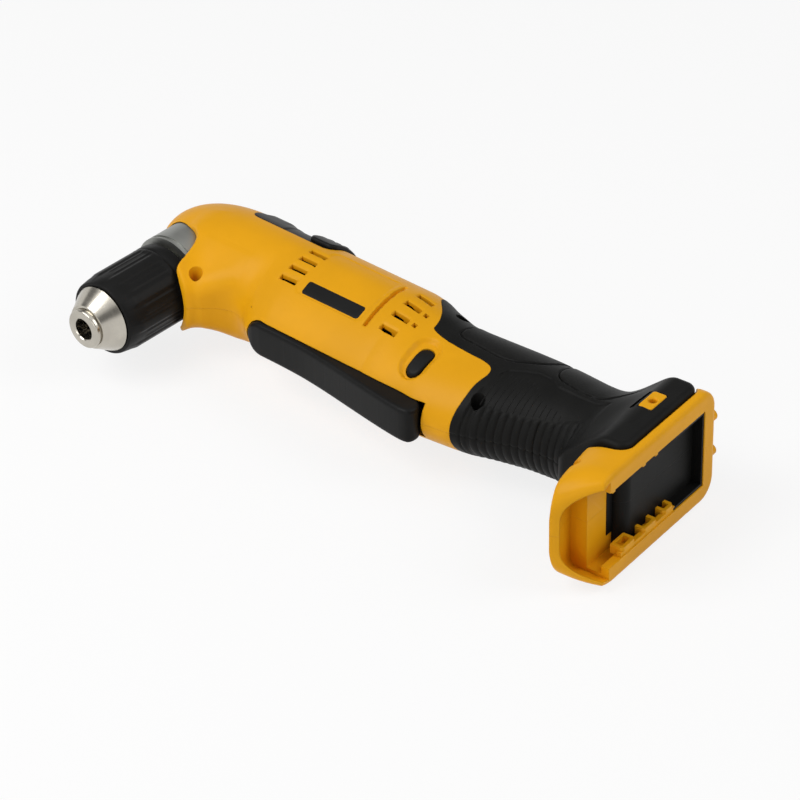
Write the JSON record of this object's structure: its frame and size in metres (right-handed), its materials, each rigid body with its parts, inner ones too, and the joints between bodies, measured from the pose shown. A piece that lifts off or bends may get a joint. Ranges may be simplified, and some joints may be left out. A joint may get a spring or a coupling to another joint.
{
  "type": "right angle drill",
  "caption": "Cordless right angle drill with a keyless chuck on a short bevel head, a long paddle switch, a rubber grip and a slide-on battery foot.",
  "frame": {"origin": "centre of the chuck mouth, at the nose of the chuck", "axes": "+X along the barrel from the head to the battery foot, -Y out of the chuck mouth, +Z out of the side that lies uppermost"},
  "size_m": [0.3315, 0.1317, 0.0656],
  "materials": {
    "yellow_plastic": "satin moulded plastic",
    "black_rubber": "moulded soft grip",
    "black_plastic": "satin moulded plastic",
    "steel": "machined",
    "grey_aluminium": "cast, bead blasted",
    "nickel": "nickel plated",
    "copper": "copper",
    "dark_iron": "plain",
    "red_lead": "insulated lead"
  },
  "bodies": {
    "body": {"housing_left": "yellow_plastic", "housing_right": "yellow_plastic", "grip_left": "black_rubber", "grip_right": "black_rubber", "housing_screws": "steel", "hook_inserts": "yellow_plastic", "terminal_block": "black_plastic", "terminal_blades": "nickel", "gear_case": "grey_aluminium", "spindle_bearing": "steel", "top_bearing": "steel", "pinion_bearing": "steel", "ring_gear": "steel", "motor_plate": "grey_aluminium", "motor_can": "dark_iron", "motor_magnets": "dark_iron", "brush_ring": "black_plastic", "brushes": "copper", "switch_body": "black_plastic", "power_leads": "red_lead", "selector_track": "black_plastic", "paddle_pin": "steel"},
    "selector": {"speed_selector": "black_plastic", "shift_fork": "steel"},
    "direction": {"direction_button": "black_plastic"},
    "paddle": {"paddle": "black_plastic"},
    "plunger": {"switch_plunger": "black_plastic"},
    "output": {"spindle": "steel", "bevel_gear": "steel", "chuck_body": "nickel", "chuck_screw": "steel"},
    "sleeve": {"chuck_sleeve": "black_plastic", "jaw_nut": "steel"},
    "jaw_a": {"jaw_1": "steel"},
    "jaw_b": {"jaw_2": "steel"},
    "jaw_c": {"jaw_3": "steel"},
    "carrier": {"bevel_pinion": "steel", "planet_carrier": "steel"},
    "planet_a": {"planet_1": "steel"},
    "planet_b": {"planet_2": "steel"},
    "planet_c": {"planet_3": "steel"},
    "rotor": {"motor_shaft": "steel", "armature_core": "dark_iron", "armature_windings": "copper", "commutator": "copper", "motor_fan": "black_plastic"}
  },
  "joints": [
    {"name": "paddle_pivot", "type": "hinge", "parent": "body", "child": "paddle", "pos_m": [0.062, 0.0583, 0], "axis": [0, 0, 1], "range_deg": [0, 4.4], "stiffness_Nm_per_rad": 8, "springref_deg": -3.44},
    {"name": "plunger_slide", "type": "slide", "parent": "body", "child": "plunger", "axis": [0, 1, 0], "range_m": [0, 0.007]},
    {"name": "direction_slide", "type": "slide", "parent": "body", "child": "direction", "axis": [0, 0, 1], "range_m": [-0.0025, 0.0025]},
    {"name": "selector_slide", "type": "slide", "parent": "body", "child": "selector", "axis": [-1, 0, 0], "range_m": [0, 0.01]},
    {"name": "spindle_spin", "type": "hinge", "parent": "body", "child": "output", "pos_m": [0, 0.0703, 0], "axis": [0, 1, 0], "continuous": true},
    {"name": "sleeve_turn", "type": "hinge", "parent": "output", "child": "sleeve", "pos_m": [0, 0.0303, 0], "axis": [0, 1, 0], "range_deg": [0, 1440]},
    {"name": "carrier_spin", "type": "hinge", "parent": "body", "child": "carrier", "pos_m": [0.03, 0.0903, 0], "axis": [1, 0, 0], "continuous": true},
    {"name": "rotor_spin", "type": "hinge", "parent": "body", "child": "rotor", "pos_m": [0.09, 0.0903, 0], "axis": [1, 0, 0], "continuous": true},
    {"name": "planet_a_spin", "type": "hinge", "parent": "carrier", "child": "planet_a", "pos_m": [0.045, 0.0903, 0.01215], "axis": [1, 0, 0], "continuous": true},
    {"name": "jaw_a_slide", "type": "slide", "parent": "output", "child": "jaw_a", "axis": [-0.2095, -0.9703, 0.121], "range_m": [0, 0.0127]},
    {"name": "planet_b_spin", "type": "hinge", "parent": "carrier", "child": "planet_b", "pos_m": [0.045, 0.07978, -0.00607], "axis": [1, 0, 0], "continuous": true},
    {"name": "jaw_b_slide", "type": "slide", "parent": "output", "child": "jaw_b", "axis": [0.2095, -0.9703, 0.121], "range_m": [0, 0.0127]},
    {"name": "planet_c_spin", "type": "hinge", "parent": "carrier", "child": "planet_c", "pos_m": [0.045, 0.10082, -0.00607], "axis": [1, 0, 0], "continuous": true},
    {"name": "jaw_c_slide", "type": "slide", "parent": "output", "child": "jaw_c", "axis": [0, -0.9703, -0.2419], "range_m": [0, 0.0127]}
  ],
  "couplings": [
    {"joint": "plunger_slide", "follows": "paddle_pivot", "m_per_rad": 0.089},
    {"joint": "carrier_spin", "follows": "spindle_spin", "ratio": 2},
    {"joint": "rotor_spin", "follows": "spindle_spin", "ratio": 9},
    {"joint": "planet_a_spin", "follows": "spindle_spin", "ratio": -5.6},
    {"joint": "jaw_a_slide", "follows": "sleeve_turn", "m_per_rad": 0.0005},
    {"joint": "planet_b_spin", "follows": "spindle_spin", "ratio": -5.6},
    {"joint": "jaw_b_slide", "follows": "sleeve_turn", "m_per_rad": 0.0005},
    {"joint": "planet_c_spin", "follows": "spindle_spin", "ratio": -5.6},
    {"joint": "jaw_c_slide", "follows": "sleeve_turn", "m_per_rad": 0.0005}
  ]
}
